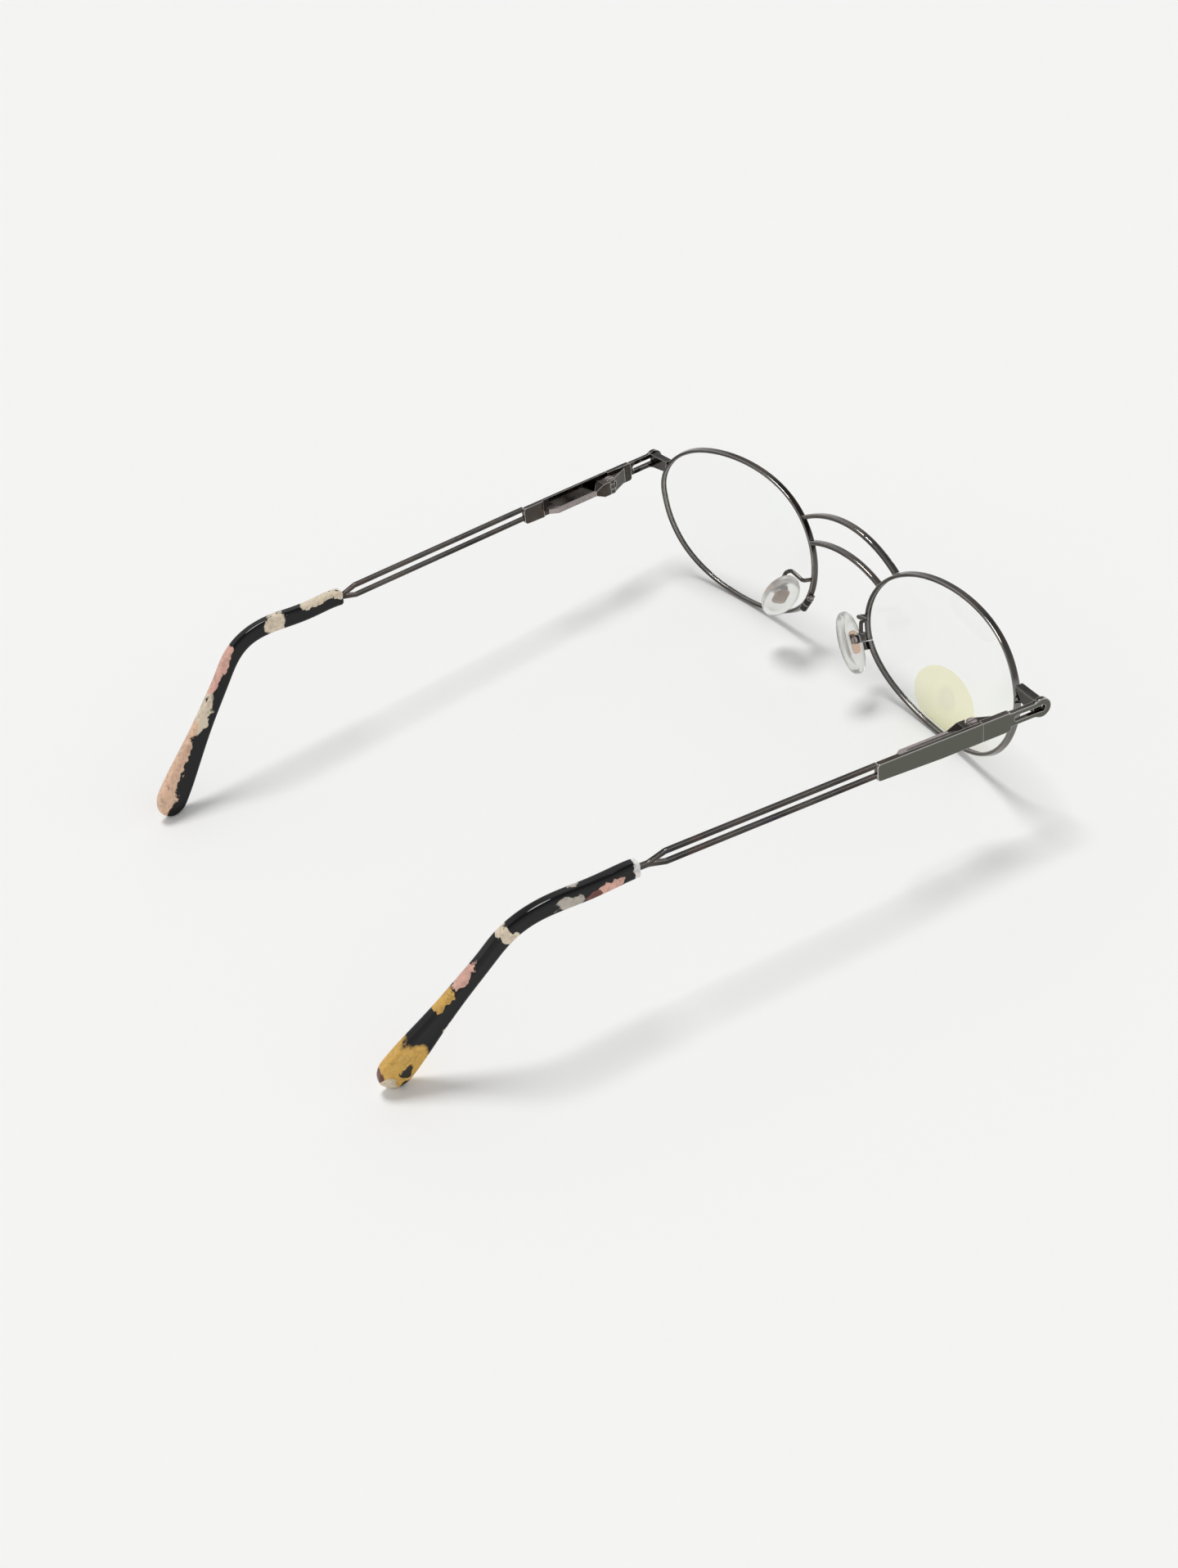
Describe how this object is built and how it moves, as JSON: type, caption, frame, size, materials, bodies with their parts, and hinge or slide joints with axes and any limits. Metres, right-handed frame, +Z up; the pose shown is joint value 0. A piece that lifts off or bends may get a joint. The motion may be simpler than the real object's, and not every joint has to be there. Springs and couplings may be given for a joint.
{
  "type": "eyeglasses",
  "caption": "Oval metal eyeglasses with a double bridge, nose pads, sprung temple hinges, forked temples and tortoise tips, resting open.",
  "frame": {"origin": "middle of the foot of the box round the open glasses, on the surface that they rest on", "axes": "+Z up, the lenses face -Y, the temples run towards +Y, the wearer's left is +X"},
  "size_m": [0.1324, 0.1452, 0.0315],
  "materials": {
    "gunmetal": "glossy dark gunmetal plating",
    "steel": "bright machined steel",
    "lens": "clear polished demonstration lens",
    "pad": "soft clear pad",
    "tortoise": "polished tortoise acetate",
    "label": "thin clear film label, blank"
  },
  "bodies": {
    "front": {"left_rim": "gunmetal", "left_lens": "lens", "left_lug": "gunmetal", "left_endpiece": "gunmetal", "left_hinge_front": "gunmetal", "left_hinge_screw": "steel", "left_closing_block_upper": "gunmetal", "left_closing_block_lower": "gunmetal", "left_closing_screw": "steel", "left_pad_arm": "gunmetal", "left_pad_box": "gunmetal", "left_pad_screw": "steel", "right_rim": "gunmetal", "right_lens": "lens", "right_lug": "gunmetal", "right_endpiece": "gunmetal", "right_hinge_front": "gunmetal", "right_hinge_screw": "steel", "right_closing_block_upper": "gunmetal", "right_closing_block_lower": "gunmetal", "right_closing_screw": "steel", "right_pad_arm": "gunmetal", "right_pad_box": "gunmetal", "right_pad_screw": "steel", "bridge_upper": "gunmetal", "bridge_lower": "gunmetal", "right_lens_label": "label"},
    "left_pad": {"left_nose_pad": "pad", "left_pad_insert": "steel"},
    "left_leaf": {"left_hinge_leaf": "gunmetal"},
    "left_temple": {"left_leaf_spring": "steel", "left_temple_plate": "gunmetal", "left_temple_fork": "gunmetal", "left_temple_tip": "tortoise"},
    "right_pad": {"right_nose_pad": "pad", "right_pad_insert": "steel"},
    "right_leaf": {"right_hinge_leaf": "gunmetal"},
    "right_temple": {"right_leaf_spring": "steel", "right_temple_plate": "gunmetal", "right_temple_fork": "gunmetal", "right_temple_tip": "tortoise"}
  },
  "joints": [
    {"name": "left_temple_fold", "type": "hinge", "parent": "front", "child": "left_leaf", "pos_m": [0.06234, -0.05148, 0.0231], "axis": [0.0034, -0.0428, 0.9991], "range_deg": [0, 86]},
    {"name": "left_temple_flex", "type": "hinge", "parent": "left_leaf", "child": "left_temple", "pos_m": [0.06476, -0.05161, 0.02308], "axis": [0.0034, -0.0428, 0.9991], "range_deg": [-8, 0], "stiffness_Nm_per_rad": 0.4, "deforming": ["left_leaf_spring"]},
    {"name": "left_pad_rock", "type": "hinge", "parent": "front", "child": "left_pad", "pos_m": [0.01333, -0.06188, 0.01417], "axis": [-0.3989, -0.8554, -0.3305], "range_deg": [-8, 8]},
    {"name": "right_temple_fold", "type": "hinge", "parent": "front", "child": "right_leaf", "pos_m": [-0.06234, -0.05148, 0.0231], "axis": [0.0034, 0.0428, -0.9991], "range_deg": [0, 79]},
    {"name": "right_temple_flex", "type": "hinge", "parent": "right_leaf", "child": "right_temple", "pos_m": [-0.06476, -0.05161, 0.02308], "axis": [0.0034, 0.0428, -0.9991], "range_deg": [-8, 0], "stiffness_Nm_per_rad": 0.4, "deforming": ["right_leaf_spring"]},
    {"name": "right_pad_rock", "type": "hinge", "parent": "front", "child": "right_pad", "pos_m": [-0.01333, -0.06188, 0.01417], "axis": [-0.3989, 0.8554, 0.3305], "range_deg": [-8, 8]}
  ]
}
